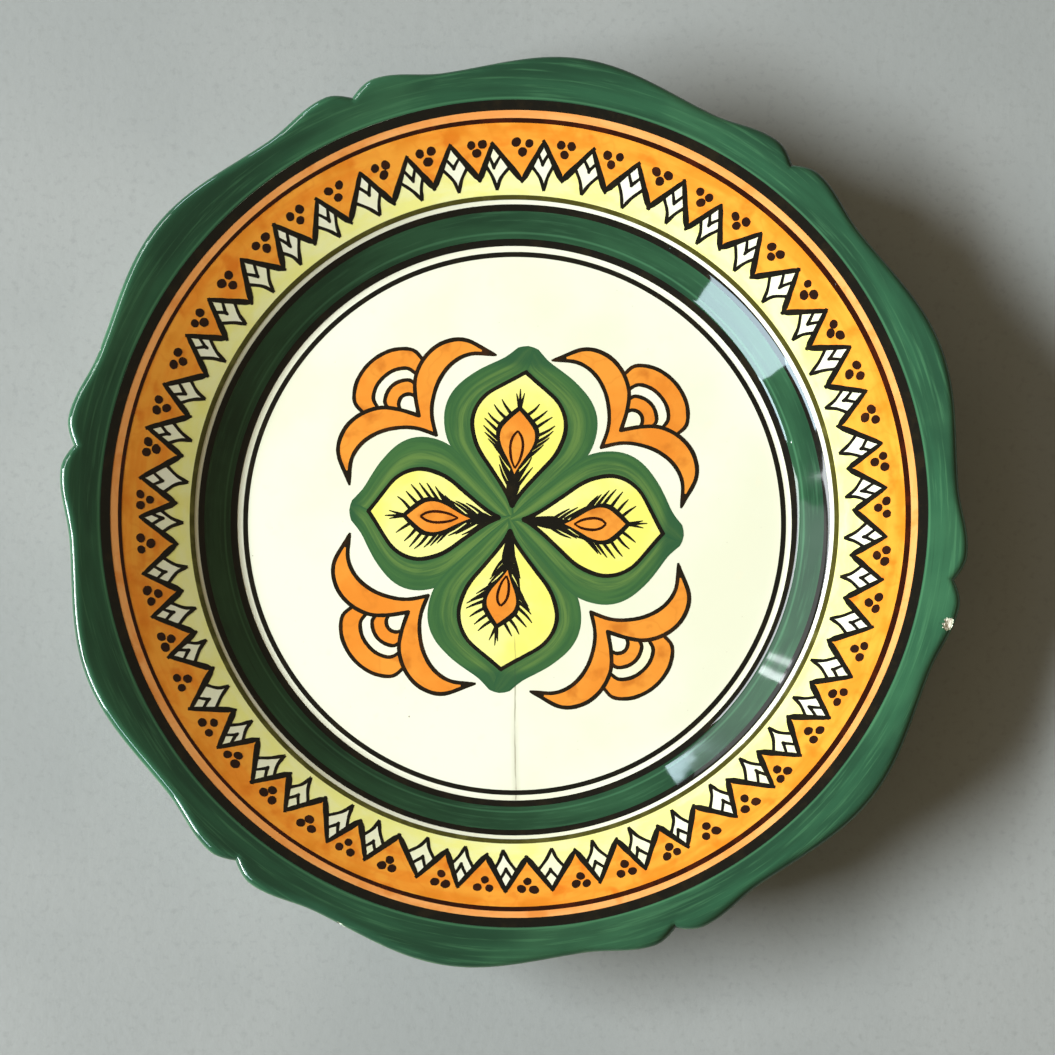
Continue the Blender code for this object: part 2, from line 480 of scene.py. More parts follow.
def united(shapes, extra=()):
    """The union of flat shapes, as points and triangles. Extra points are used where they fall inside."""
    shapes = [counter_clockwise(shape) for shape in shapes]
    points, outlines = [], []
    for shape in shapes:
        outlines.append(list(range(len(points), len(points) + len(shape))))
        points += [Vector(point) for point in shape]
    points += [Vector(point) for point in extra]
    verts, _, triangles, *_ = delaunay_2d_cdt(points, [], outlines, 0, 1e-5, False)
    verts = np.array([tuple(vert) for vert in verts])
    middles = verts[np.array(triangles)].mean(axis=1)
    kept = [list(triangle) for triangle, inside in zip(triangles, covered(middles, shapes)) if inside]
    used = sorted({i for triangle in kept for i in triangle})
    place = {old: new for new, old in enumerate(used)}
    return verts[used], [[place[i] for i in triangle] for triangle in kept]


def painted(name, layers, material, slot, extra=()):
    """A piece of paint made of layers, each (flat shapes, height over the glaze)."""
    points, faces, normals = [], [], []
    for shapes, top in layers:
        shell, shell_faces, shell_normals = film_shell(*united(shapes, extra), top)
        faces += [[i + len(points) for i in face] for face in shell_faces]
        points += shell.tolist()
        normals += shell_normals
    return make_piece(name, points, faces, material, slot, normals)


def ring(name, inner, outer, top, material, slot, angles, row_step=0.6):
    """A painted ring between two edges, each one radius or one for every angle."""
    inner = inner + np.zeros(len(angles))
    outer = outer + np.zeros(len(angles))
    rows = max(2, math.ceil(float(np.max(outer - inner)) / row_step) + 1)
    share = np.linspace(0, 1, rows)[:, None]
    radius = inner * (1 - share) + outer * share
    turn = np.radians(angles)[None, :]
    points = np.stack((radius * np.cos(turn), radius * np.sin(turn)), axis=2).reshape(-1, 2)
    faces = [face[::-1] for face in grid_faces(rows, len(angles))]
    shell, faces, normals = film_shell(points, faces, top)
    return make_piece(name, shell, faces, material, slot, normals)


def wobble(angles, seed, size):
    """A slow, seamless unevenness round the plate, as a hand-held brush leaves on a wheel."""
    draw = random.Random(seed)
    turn = np.radians(angles)
    total = np.zeros(len(turn))
    for beat in (1, 2, 3, 5, 8, 13):
        total += np.sin(beat * turn + draw.uniform(0, math.tau)) * draw.uniform(0.4, 1.0) / math.sqrt(beat)
    return total * size / 2


def hand_ring(name, edges, material, slot, seed, top, size, row_step):
    """A banded ring whose two edges each waver a little."""
    drift = wobble(RING_ANGLES, seed, size)
    inner = edges[0] + drift + wobble(RING_ANGLES, seed + 1, size * 0.6)
    outer = edges[1] + drift + wobble(RING_ANGLES, seed + 2, size * 0.6)
    ring(name, inner, outer, top, material, slot, RING_ANGLES, row_step)


# Brush strokes, drawn flat
def smooth(points, per_span=6):
    """A curve through points (Catmull-Rom)."""
    points = np.asarray(points, float)
    ends = (2 * points[0] - points[1], 2 * points[-1] - points[-2])
    padded = np.concatenate(([ends[0]], points, [ends[1]]))
    curve = []
    for a, b, c, d in zip(padded, padded[1:], padded[2:], padded[3:]):
        for t in np.arange(per_span) / per_span:
            square, cube = 2 * a - 5 * b + 4 * c - d, 3 * b - a - 3 * c + d
            curve.append(0.5 * (2 * b + (c - a) * t + square * t**2 + cube * t**3))
    return np.array(curve + [points[-1]])


def straight(start, end, count):
    share = np.linspace(0, 1, count + 1)[:, None]
    return np.asarray(start) * (1 - share) + np.asarray(end) * share


def stroke(points, widths, draw, uneven=0.07):
    """The quads of a brush stroke along points, with its width run through widths from start to end."""
    points = np.asarray(points, float)
    share = lengths(points) / lengths(points)[-1]
    side = normals_of(points)
    half = np.interp(share, np.linspace(0, 1, len(widths)), widths) / 2
    half = half * np.array([1 + draw.uniform(-uneven, uneven) for _ in points])
    left, right = points + side * half[:, None], points - side * half[:, None]
    return [[right[i], right[i + 1], left[i + 1], left[i]] for i in range(len(points) - 1)]


def blob(centre, length, width, heading, draw, sides=14):
    """An oval touch of the brush."""
    shape = []
    for i in range(sides):
        a = math.tau * i / sides
        size = 1 + draw.uniform(-0.05, 0.05)
        shape.append((length / 2 * math.cos(a) * size, width / 2 * math.sin(a) * size))
    return headed(shape, heading, centre)


def polar(radius, angle):
    return np.array((radius * math.cos(math.radians(angle)), radius * math.sin(math.radians(angle))))


def headed(points, heading, origin=(0.0, 0.0)):
    """The flat places of points given as (along, across to the left) of a heading from an origin."""
    turn = math.radians(heading)
    points = np.asarray(points, float)
    along, across = points[..., 0], points[..., 1]
    x = origin[0] + along * math.cos(turn) - across * math.sin(turn)
    y = origin[1] + along * math.sin(turn) + across * math.cos(turn)
    return np.stack((x, y), axis=-1)


# Materials
class Look:
    """A node material under construction."""

    def __init__(self, name, roughness, coat, coat_roughness=0.035):
        self.material = bpy.data.materials.new(name)
        self.material.use_nodes = True
        self.tree = self.material.node_tree
        self.shader = self.tree.nodes["Principled BSDF"]
        self.set(self.shader, "Roughness", roughness)
        self.set(self.shader, "Coat Weight", coat)
        self.set(self.shader, "Coat Roughness", coat_roughness)
        self.set(self.shader, "Specular IOR Level", 0.0 if coat else 0.35)
        self.place = self.tree.nodes.new("ShaderNodeTexCoord").outputs["Object"]

    def set(self, node, socket, value):
        if isinstance(value, bpy.types.NodeSocket):
            self.tree.links.new(value, node.inputs[socket])
        elif node.inputs[socket].type == "RGBA":
            node.inputs[socket].default_value = (*value, 1.0)
        else:
            node.inputs[socket].default_value = value

    def node(self, kind, *inputs, **settings):
        """A new node with these first inputs, values or links, and settings."""
        node = self.tree.nodes.new("ShaderNode" + kind)
        for name, setting in settings.items():
            setattr(node, name, setting)
        for socket, value in enumerate(inputs):
            self.set(node, socket, value)
        return node

    def math(self, operation, a, b=0.0):
        return self.node("Math", a, b, operation=operation).outputs[0]

    def times(self, a, b):
        return self.math("MULTIPLY", a, b)

    def off(self, a, b):
        """How far a is from b, either way."""
        return self.math("ABSOLUTE", self.math("SUBTRACT", a, b))

    def step(self, value, low, high, out_low=0.0, out_high=1.0):
        """Value run smoothly from out_low at low to out_high at high."""
        inputs = value, low, high, out_low, out_high
        return self.node("MapRange", *inputs, interpolation_type="SMOOTHSTEP").outputs[0]

    def noise(self, scale, detail=3.0, vector=None, roughness=0.5):
        node = self.node("TexNoise", self.place if vector is None else vector)
        self.set(node, "Scale", scale)
        self.set(node, "Detail", detail)
        self.set(node, "Roughness", roughness)
        return node.outputs[0]

    def over(self, tone, color, mask, share=1.0):
        """The tone with this much of a colour laid over it where the mask is 1."""
        node = self.node("Mix", mask if share == 1.0 else self.times(mask, share), data_type="RGBA")
        self.set(node, 6, tone)
        self.set(node, 7, color)
        return node.outputs[2]

    def split(self, vector):
        return self.node("SeparateXYZ", vector).outputs[:3]

    def join(self, x, y, z):
        return self.node("CombineXYZ", x, y, z).outputs[0]

    def given(self, name):
        """The three parts of an attribute of the mesh."""
        return self.split(self.node("Attribute", attribute_name=name).outputs["Vector"])

    def radius(self):
        x, y, _ = self.split(self.place)
        return self.math("SQRT", self.math("ADD", self.times(x, x), self.times(y, y)))

    def round_the_plate(self, turns, per_mm):
        """A seamless place whose first two parts go round the plate and whose third goes outward."""
        x, y, _ = self.split(self.place)
        radius = self.math("ADD", self.radius(), 1e-6)
        around = [self.times(self.math("DIVIDE", part, radius), turns) for part in (x, y)]
        return self.join(*around, self.times(radius, per_mm / MM))

    def specks(self, spacing_mm, size, share, seed=0.0):
        """1 in small round specks about spacing_mm apart, of which only a share is kept."""
        moved = self.node("VectorMath", self.place, (seed, seed * 0.7, seed * 0.3), operation="ADD")
        node = self.node("TexVoronoi", moved.outputs[0])
        self.set(node, "Scale", 1 / (spacing_mm * MM))
        chance, _, _ = self.split(node.outputs["Color"])
        spot = self.step(node.outputs["Distance"], size, size * 0.55)
        return self.times(spot, self.math("LESS_THAN", chance, share))

    def bump(self, height, distance_mm, socket, strength=1.0):
        node = self.node("Bump", strength)
        self.set(node, "Distance", distance_mm * MM)
        self.set(node, "Height", height)
        self.set(self.shader, socket, node.outputs[0])

    def gloss(self, seed):
        """The fired surface: faint waviness, a few pinholes, and gloss that is duller where it is rubbed."""
        waves = self.noise(70.0, 2.0)
        pits = self.specks(9.0, 0.035, 0.35, seed + 3.0)
        height = self.math("SUBTRACT", waves, self.times(pits, 0.6))
        self.bump(height, 0.030, "Coat Normal")
        rubbed = self.step(self.noise(38.0, 6.0), 0.52, 0.75, 0.030, 0.075)
        self.set(self.shader, "Coat Roughness", rubbed)

    def color(self, value):
        self.set(self.shader, "Base Color", value)
        return self.material

    def crack(self):
        """1 on the stained hairline crack that runs from the lower leaf to the foot of the wall."""
        x, y, _ = self.split(self.place)
        drift = self.noise(45.0, 4.0, self.join(0.0, y, 0.0))
        line = self.math("ADD", self.times(self.math("SUBTRACT", drift, 0.5), 2.0 * MM), 0.25 * MM)
        away = self.off(x, line)
        patchy = self.step(self.noise(130.0, 4.0, self.join(7.0, y, 0.0)), 0.25, 0.6, 0.35, 0.85)
        core = self.times(self.step(away, 0.30 * MM, 0.08 * MM), patchy)
        halo = self.times(self.step(away, 1.6 * MM, 0.1 * MM), self.step(y, -50 * MM, -62 * MM, 0.05, 0.22))
        reach = self.times(self.step(y, -29 * MM, -36 * MM), self.step(y, -79 * MM, -77 * MM))
        return self.times(self.math("MAXIMUM", core, halo), reach)


def cream(name, seed, warmth=0.0):
    """Warm cream glaze, a little yellower where it pooled, with fine specks and a few larger ones."""
    look = Look(name, 0.32, 1.0)
    clean = (0.845, 0.850 - warmth * 0.03, 0.700 - warmth * 0.08)
    pooled = (0.80, 0.80 - warmth * 0.03, 0.62 - warmth * 0.08)
    tone = look.over(clean, pooled, look.step(look.noise(22.0, 5.0), 0.40, 0.68))
    tone = look.over(tone, (0.86, 0.80, 0.60), look.step(look.noise(240.0, 2.0), 0.60, 0.78), 0.25)
    tone = look.over(tone, (0.48, 0.42, 0.30), look.specks(2.2, 0.10, 0.16, seed), 0.30)
    tone = look.over(tone, (0.20, 0.13, 0.07), look.specks(11.0, 0.032, 0.45, seed + 1), 0.85)
    look.gloss(seed)
    return look, tone


def face_glaze():
    look, tone = cream("cream_glaze", 0.0)
    return look.color(look.over(tone, (0.33, 0.29, 0.20), look.crack()))


def base_glaze():
    look, tone = cream("base_glaze", 5.0, warmth=0.6)
    rub = look.step(look.noise(160.0, 8.0, roughness=0.7), 0.58, 0.72)
    return look.color(look.over(tone, (0.50, 0.45, 0.34), rub, 0.22))


def clay():
    look = Look("fired_clay", 0.88, 0.0)
    grain = look.noise(900.0, 8.0, roughness=0.7)
    tone = look.over((0.72, 0.65, 0.52), (0.88, 0.84, 0.72), look.step(grain, 0.35, 0.65))
    tone = look.over(tone, (0.36, 0.26, 0.17), look.specks(1.3, 0.20, 0.30), 0.6)
    _, _, height = look.split(look.place)
    smudge = look.step(look.noise(120.0, 6.0), 0.42, 0.62)
    worn = look.times(look.step(height, 0.9 * MM, 0.0), smudge)
    tone = look.over(tone, (0.32, 0.27, 0.20), worn, 0.65)
    look.bump(grain, 0.12, "Normal", 0.9)
    return look.color(tone)


def banded_green(name, dark, middle, light, streak, start):
    """Green laid on with the plate turning: long streaks that follow the bands, thin along its inner edge."""
    look = Look(name, 0.34, 1.0)
    broad = look.noise(1.0, 3.0, look.round_the_plate(2.2, 0.16), 0.55)
    fine = look.noise(1.0, 4.0, look.round_the_plate(5.0, 1.10), 0.6)
    patches = look.noise(26.0, 4.0)
    tone = look.over(dark, middle, look.step(broad, 0.34, 0.66))
    tone = look.over(tone, light, look.step(fine, 0.50, 0.72), 0.55 * streak)
    tone = look.over(tone, dark, look.step(fine, 0.42, 0.26), 0.60)
    tone = look.over(tone, light, look.step(patches, 0.52, 0.72), 0.30)
    edge = look.step(look.off(look.radius(), (start + 0.45) * MM), 0.45 * MM, 0.0)
    tone = look.over(tone, tuple(1.5 * c for c in light), edge, 0.45)
    look.gloss(1.0)
    return look, tone


def rim_green():
    """The rim's green, thin over the turn of the lip, where its lighter tone is also a painted highlight, and
    nicked through in a few places.
    """
    greens = (0.014, 0.055, 0.029), (0.023, 0.092, 0.046), (0.054, 0.168, 0.080)
    look, tone = banded_green("paint_green_rim", *greens, 1.0, GREEN_START + 0.2)
    along, _, _ = look.given("from_lip")
    from_lip = look.math("ABSOLUTE", along)
    broken = look.noise(1.0, 5.0, look.round_the_plate(28.0, 0.8), 0.6)
    reach = look.math("ADD", 0.35, look.times(broken, 1.1))
    # Lighter green near the lip's crest: thin paint over the turn, and partly a painted highlight on the lip.
    thin = look.step(look.math("DIVIDE", from_lip, reach), 1.6, 0.5)
    tone = look.over(tone, (0.150, 0.270, 0.130), thin, 0.62)
    nick = look.times(look.step(broken, 0.66, 0.72), look.step(from_lip, 0.7, 0.3))
    return look.color(look.over(tone, (0.42, 0.50, 0.33), nick))


def wall_green():
    greens = (0.012, 0.048, 0.024), (0.022, 0.080, 0.038), (0.046, 0.140, 0.070)
    look, tone = banded_green("paint_green_wall", *greens, 0.8, GREEN_WALL[0] + 1.2)
    return look.color(tone)


def petal_green():
    """Two broad strokes a petal, lighter down the middle where the brush was drier."""
    look = Look("paint_green_petal", 0.34, 1.0)
    along, across, number = look.given("stroke")
    flow = look.join(look.times(along, 0.055), look.times(across, 7.2), look.times(number, 5.3))
    streaks = look.noise(1.0, 5.0, flow, 0.6)
    drift = look.math("SUBTRACT", look.noise(0.05, 2.0, look.join(along, 3.0, number)), 0.5)
    middle = look.off(look.math("ADD", across, look.times(drift, 0.5)), 0.42)
    tone = look.over((0.038, 0.116, 0.040), (0.056, 0.150, 0.045), look.step(streaks, 0.35, 0.65))
    light = look.times(look.step(middle, 0.30, 0.04), look.step(streaks, 0.36, 0.62, 0.15, 0.75))
    tone = look.over(tone, (0.135, 0.235, 0.058), light)
    tone = look.over(tone, (0.028, 0.100, 0.042), look.step(look.off(across, 0.5), 0.34, 0.50), 0.55)
    tone = look.over(tone, (0.024, 0.090, 0.040), look.step(along, 41.0, 44.5), 0.75)
    tone = look.over(tone, (0.04, 0.09, 0.04), look.crack(), 0.5)
    look.gloss(2.0)
    return look.color(tone)


def mottled_orange(name, light, middle, dark, round_plate=True):
    """Thin orange that pooled in places while it was wet."""
    look = Look(name, 0.34, 1.0)
    if round_plate:
        drag = look.noise(1.0, 3.0, look.round_the_plate(6.0, 0.35), 0.55)
    else:
        drag = look.noise(70.0, 3.0)
    pools = look.noise(150.0, 3.0, roughness=0.45)
    tone = look.over(middle, light, look.step(drag, 0.35, 0.62))
    tone = look.over(tone, dark, look.step(pools, 0.54, 0.72), 0.85)
    tone = look.over(tone, dark, look.step(look.off(look.noise(95.0, 2.0), 0.5), 0.035, 0.0), 0.22)
    look.gloss(4.0)
    return look, tone


def orange_band_paint():
    oranges = (0.90, 0.36, 0.040), (0.86, 0.275, 0.024), (0.74, 0.185, 0.012)
    look, tone = mottled_orange("paint_orange_band", *oranges)
    outer = look.step(look.radius(), 102.5 * MM, 108.0 * MM)
    wet = look.step(look.noise(1.0, 3.0, look.round_the_plate(11.0, 0.12)), 0.46, 0.62)
    return look.color(look.over(tone, (0.74, 0.22, 0.012), look.times(outer, wet), 0.75))


def light_orange_paint():
    oranges = (0.90, 0.40, 0.125), (0.85, 0.33, 0.085), (0.76, 0.25, 0.045)
    look, tone = mottled_orange("paint_orange_light", *oranges)
    return look.color(tone)


def motif_orange_paint():
    oranges = (0.84, 0.31, 0.040), (0.79, 0.25, 0.027), (0.58, 0.17, 0.018)
    look, tone = mottled_orange("paint_orange_motif", *oranges, round_plate=False)
    return look.color(tone)


def yellow_band_paint():
    look = Look("paint_yellow_band", 0.33, 1.0)
    wash = look.noise(1.0, 4.0, look.round_the_plate(7.0, 0.22), 0.55)
    tone = look.over((0.885, 0.870, 0.420), (0.875, 0.845, 0.280), look.step(wash, 0.34, 0.66))
    tone = look.over(tone, (0.84, 0.76, 0.20), look.step(look.noise(85.0, 4.0), 0.56, 0.74), 0.5)
    look.gloss(6.0)
    return look.color(tone)


def leaf_yellow_paint():
    look = Look("paint_yellow_leaf", 0.33, 1.0)
    wash = look.step(look.noise(48.0, 4.0), 0.36, 0.66)
    tone = look.over((0.890, 0.875, 0.300), (0.880, 0.820, 0.170), wash)
    tone = look.over(tone, (0.88, 0.84, 0.32), look.step(look.noise(160.0, 3.0), 0.58, 0.74), 0.4)
    tone = look.over(tone, (0.36, 0.30, 0.10), look.crack(), 0.8)
    look.gloss(7.0)
    return look.color(tone)


def line_paint(name, dark, thin, spread):
    """Line paint: nearly opaque, with browner passages where the brush ran dry."""
    look = Look(name, 0.36, 1.0)
    tone = look.over(dark, thin, look.step(look.noise(170.0, 5.0, roughness=0.6), 0.48, 0.70), spread)
    tone = look.over(tone, thin, look.step(look.noise(620.0, 4.0), 0.56, 0.70), 0.22)
    look.gloss(8.0)
    return look.color(tone)


def white_paint():
    look = Look("reserved_white", 0.32, 1.0)
    wash = look.step(look.noise(60.0, 4.0), 0.38, 0.66)
    tone = look.over((0.875, 0.870, 0.700), (0.870, 0.865, 0.560), wash)
    look.gloss(9.0)
    return look.color(tone)


def floor_paint():
    look = Look("pale_floor", 0.62, 0.0)
    broad = look.step(look.noise(9.0, 6.0), 0.35, 0.65)
    tone = look.over((0.290, 0.304, 0.300), (0.327, 0.338, 0.332), broad)
    grain = look.step(look.noise(420.0, 6.0, roughness=0.65), 0.50, 0.70)
    tone = look.over(tone, (0.248, 0.258, 0.251), grain, 0.45)
    look.bump(look.noise(300.0, 6.0, roughness=0.6), 0.15, "Normal", 0.5)
    return look.color(tone)


# The plate's three solids
def uneven_glaze_line(points):
    """The glaze's lower edge at the foot rises and falls a little, as a wiped edge does."""
    points = points.copy()
    radius = np.hypot(points[..., 0], points[..., 1])
    near = np.clip((3.0 - points[..., 2]) / 1.2, 0, 1) * (radius > 68) * (radius < 80)
    for row, column in zip(*np.nonzero(near)):
        x, y, _ = points[row, column]
        slow = noise.noise(Vector((x * 0.09, y * 0.09, 2.0)))
        quick = noise.noise(Vector((x * 0.5, y * 0.5, 5.0)))
        points[row, column, 2] += (0.32 * slow + 0.14 * quick) * near[row, column]
    return points


def build_solids():
    angles = lip_angles()
    outer = thinned(FACE_PATH)
    inner = thinned(outset(CLAY_PATH, GLAZE_INSIDE), 8.0, 8.0)[::-1]
    inner[-1, 0] = 0.0
    shell = np.concatenate((outer, inner))
    glaze = turned_solid(
        "plate_glaze", shell, angles, face_glaze(), "cream_glaze",
        lambda points: uneven_glaze_line(chipped(points, CHIP_DEPTHS[0])),
    )
    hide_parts("outer_glaze")

    face = thinned(outset(CLAY_PATH, CLAY_OUTSIDE), 6.0, 6.0)
    face[0, 0] = 0.0
    foot = thinned(resampled(bare_clay()), 6.0, 3.0)
    base = thinned(outset(BASE_PATH, CLAY_OUTSIDE), 8.0, 8.0)
    base[-1, 0] = 0.0
    clay_path = np.concatenate((face, foot, base))
    body = turned_solid("clay_disc", clay_path, angles, clay(), "bare_clay", chipped)
    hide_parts("clay_body")

    under = thinned(outset(BASE_PATH, COAT), 5.0, 6.0)
    over = thinned(outset(BASE_PATH, GLAZE_INSIDE), 8.0, 8.0)
    under[-1, 0] = over[-1, 0] = 0.0
    island = np.concatenate((over[::-1], under))
    base_piece = turned_solid(
        "base_island_glaze", island, RING_ANGLES, base_glaze(), "underside_glaze", uneven_glaze_line
    )
    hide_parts("base_glaze")
    return angles


def build_green_rim(angles):
    """The green of the rim: from the black ring, over the lip and a little way down its back."""
    start = int(np.searchsorted(FACE_PATH[:LIP, 0], GREEN_START))
    end = LIP + int((GREEN_TURN_UNDER + GREEN_WAVER) / PATH_STEP)
    path = thinned(FACE_PATH[start : end + 1], 4.0, 1.2)
    from_lip = lengths(path)
    from_lip = from_lip - from_lip[int(np.argmax(path[:, 0]))]
    turn = np.radians(angles)
    waver = wobble(angles, 61, 0.8) + 0.2 * np.sin(turn * 37) * np.sin(turn * 5 + 1.0)
    reach = (GREEN_TURN_UNDER + np.clip(waver, -GREEN_WAVER, GREEN_WAVER)) / from_lip[-1]
    place = np.where(from_lip[:, None] > 0, from_lip[:, None] * reach, from_lip[:, None])
    top = chipped(slid(spun(outset(path, BASE_LAYER), angles), from_lip, place), CHIP_DEPTHS[1])
    bottom = chipped(slid(spun(outset(path, UNDER), angles), from_lip, place), CHIP_DEPTHS[2])
    rows, columns = top.shape[:2]
    count = rows * columns
    points = np.concatenate((top.reshape(-1, 3), bottom.reshape(-1, 3)))
    faces = [face[::-1] for face in grid_faces(rows, columns)]
    faces += grid_faces(rows, columns, start=count)
    for i in range(columns):
        after = (i + 1) % columns
        last = (rows - 1) * columns
        faces.append([i, after, after + count, i + count])
        faces.append([last + after, last + i, last + i + count, last + after + count])
    marks = np.tile(np.column_stack((place.ravel(), np.zeros(count), np.zeros(count))), (2, 1))
    make_piece("green_rim", points, faces, rim_green(), "paint_green", attributes=(("from_lip", marks),))


def slid(grid, before, after):
    """The grid with each column's points slid along the column, from the lengths before to those after."""
    moved = np.empty_like(grid)
    for column in range(grid.shape[1]):
        for axis in range(3):
            moved[:, column, axis] = np.interp(after[:, column], before, grid[:, column, axis])
    return moved


def build_rings(black, brown, olive):
    light_orange, green = light_orange_paint(), wall_green()
    for name, edges, material, slot, seed, top, size, row_step in (
        ("well_line", WELL_LINE, black, "paint_black", 11, LINE_LAYER, 0.07, 0.6),
        ("wall_ring_inner", INNER_BLACK, black, "paint_black", 21, LINE_LAYER, 0.08, 0.45),
        ("wall_green", GREEN_WALL, green, "paint_green", 31, BASE_LAYER, 0.06, 0.45),
        ("wall_ring_outer", OUTER_BLACK, black, "paint_black", 41, LINE_LAYER, 0.10, 0.4),
        ("olive_line", OLIVE_LINE, olive, "paint_green", 51, LINE_LAYER, 0.10, 0.6),
        ("rim_ring", RIM_BLACK, black, "paint_black", 71, LINE_LAYER, 0.16, 0.6),
        ("light_orange_ring", LIGHT_ORANGE, light_orange, "paint_orange", 81, BASE_LAYER, 0.05, 0.6),
    ):
        hand_ring(name, edges, material, slot, seed, top, size, row_step)
    half = 0.60 + 0.15 * np.cos(np.radians(RING_ANGLES)) + wobble(RING_ANGLES, 92, 0.06)
    centre = DARK_LINE + wobble(RING_ANGLES, 91, 0.14)
    ring("dark_line", centre - half, centre + half, LINE_LAYER, brown, "paint_brown", RING_ANGLES)


# The zigzag border
def zigzag_corners():
    """The peaks and valleys, each (radius, angle), with the unevenness of the hand."""
    draw = random.Random(49)
    pitch = 360 / ZIGZAGS
    peaks, valleys = [], []
    for i in range(ZIGZAGS):
        angle = FIRST_PEAK + i * pitch
        peaks.append((PEAK_RADIUS + draw.uniform(-0.55, 0.65), angle + draw.uniform(-0.75, 0.75)))
        radius = VALLEY_RADIUS + draw.uniform(-0.35, 0.6)
        valleys.append((radius, angle + pitch / 2 + draw.uniform(-0.6, 0.6)))
    return peaks, valleys


def zigzag_edge(peaks, valleys):
    """The zigzag's middle line as angles and radii, closely enough spaced for a ring."""
    corners = sorted([(a % 360, r) for r, a in peaks + valleys])
    at = np.array([a for a, _ in corners])
    radii = np.array([r for _, r in corners])
    angles = []
    for start, end in zip(at, np.append(at[1:], at[0] + 360)):
        angles += list(np.linspace(start, end, 7)[:-1])
    angles = np.array(angles)
    order = np.argsort(angles % 360)
    angles = (angles % 360)[order]
    return angles, np.interp(angles, at, radii, period=360)


def build_zigzag(black, maroon):
    peaks, valleys = zigzag_corners()
    angles, edge = zigzag_edge(peaks, valleys)
    ring("orange_band", edge, ORANGE_END, BASE_LAYER, orange_band_paint(), "paint_orange", angles, 2.0)
    yellow = yellow_band_paint()
    ring("yellow_band", YELLOW_START, edge, BASE_LAYER - 0.003, yellow, "paint_yellow", angles, 1.6)

    draw = random.Random(7)
    lines, lances, dots = [], [], []
    for i in range(ZIGZAGS):
        peak, left, right = polar(*peaks[i]), polar(*valleys[i]), polar(*valleys[i - 1])
        lances.append(draw_unit(peak, left, right, peaks[i][1], lines, draw))
        dots += draw_dots(valleys[i][1], draw)
    radii, turns = np.arange(LANCE_TIP, PEAK_RADIUS, 1.5), np.arange(0, 360, 1.1)
    inside = [polar(radius, turn) for radius in radii for turn in turns]
    painted("lances", [(lances, SECOND_LAYER)], white_paint(), "paint_white", inside)
    painted("zigzag_lines", [(lines, LINE_LAYER)], black, "paint_black")
    painted("border_dots", [(dots, LINE_LAYER)], maroon, "paint_brown")


def draw_unit(peak, left, right, heading, lines, draw):
    """One peak: its two legs, the lance hung in it and the small V above. Returns the lance's outline."""
    outward = polar(1.0, heading)
    for valley in (left, right):
        along = (valley - peak) / np.linalg.norm(valley - peak)
        start = peak - along * draw.uniform(0.2, 0.75)
        end = valley + along * draw.uniform(0.35, 0.75)
        lines += stroke(straight(start, end, 6), (0.85, 1.30, 1.35, 1.45, 1.70, 1.65, 0.60), draw)
    share = draw.uniform(0.54, 0.62), draw.uniform(0.54, 0.62)
    corner_left = peak + (left - peak) * share[0]
    corner_right = peak + (right - peak) * share[1]
    tip = polar(LANCE_TIP + draw.uniform(-0.5, 0.5), heading + draw.uniform(-0.75, 0.75))
    middle = (corner_left + corner_right) / 2
    outline = [peak]
    for corner in (corner_left, corner_right):
        bend = (corner + tip) / 2 + (middle - corner) * draw.uniform(0.10, 0.26)
        curve = smooth((corner, bend, tip), 4)
        lines += stroke(curve, (0.95, 0.85, 0.88, 1.05, 0.70), draw)
        outline += list(curve if corner is corner_left else curve[::-1])
    drop = peak - outward * draw.uniform(5.0, 6.0) + (middle - peak) * 0.02
    tail = drop - outward * draw.uniform(0.5, 1.0)
    for valley in (left, right):
        arm = peak + (valley - peak) * draw.uniform(0.27, 0.33)
        lines += stroke(straight(arm, drop, 3), (0.72, 0.85, 0.95), draw)
    lines += stroke(straight(drop + outward * 0.4, tail, 3), (1.1, 1.15, 0.5), draw)
    return outline


def draw_dots(angle, draw):
    """The three dots in an orange triangle."""
    shapes = []
    spread = math.degrees(1.66 / DOT_OUTER)
    for radius, turn in ((DOT_OUTER, -spread), (DOT_OUTER, spread), (DOT_INNER, 0.0)):
        place = polar(radius + draw.uniform(-0.25, 0.25), angle + turn + draw.uniform(-0.15, 0.15))
        size = draw.uniform(2.1, 2.4)
        length = size * draw.uniform(1.02, 1.22)
        shapes.append(blob(place, length, size, angle + 90 + draw.uniform(-35, 35), draw))
    return shapes


# The flower
class Petal:
    """One petal: places given as (along its heading, across to the left) from the flower's centre."""

    def __init__(self, heading, length, leaf_length, left, right, heart_root, heart_tip, heart_half, *loop):
        self.heading = heading
        self.length, self.leaf_length = length, leaf_length
        self.half = {1: left, -1: right}
        self.heart_root, self.heart_tip = np.array(heart_root), np.array(heart_tip)
        self.heart_half = heart_half
        self.heart_length = np.linalg.norm(self.heart_tip - self.heart_root)
        self.axis = (self.heart_tip - self.heart_root) / self.heart_length
        self.across = np.array((-self.axis[1], self.axis[0]))
        self.loop = loop

    def place(self, points):
        return headed(points, self.heading, FLOWER_CENTRE)

    def side(self, shape, length, half, sign):
        """One side of an outline, from its root to its tip."""
        return smooth([(s * length, sign * w * half) for s, w in shape], 4)

    def leaf_side(self, sign):
        return self.side(LEAF_SHAPE, self.leaf_length, self.half[sign], sign)

    def petal_side(self, sign):
        return self.side(PETAL_SHAPE, self.length, PETAL_WIDTH, sign)

    def heart_side(self, sign, grow=0.0):
        """One side of the heart, grown outward to give the dark rim round it."""
        root = self.heart_root - self.axis * grow * 0.5
        along = self.axis * (self.heart_length + grow * 1.9)
        aside = self.across * sign * (self.heart_half + grow)
        return smooth([root + along * s + aside * w for s, w in HEART_SHAPE], 4)

    def closed(self, side_of, *given):
        return self.place(np.concatenate((side_of(1, *given), side_of(-1, *given)[::-1][1:-1])))


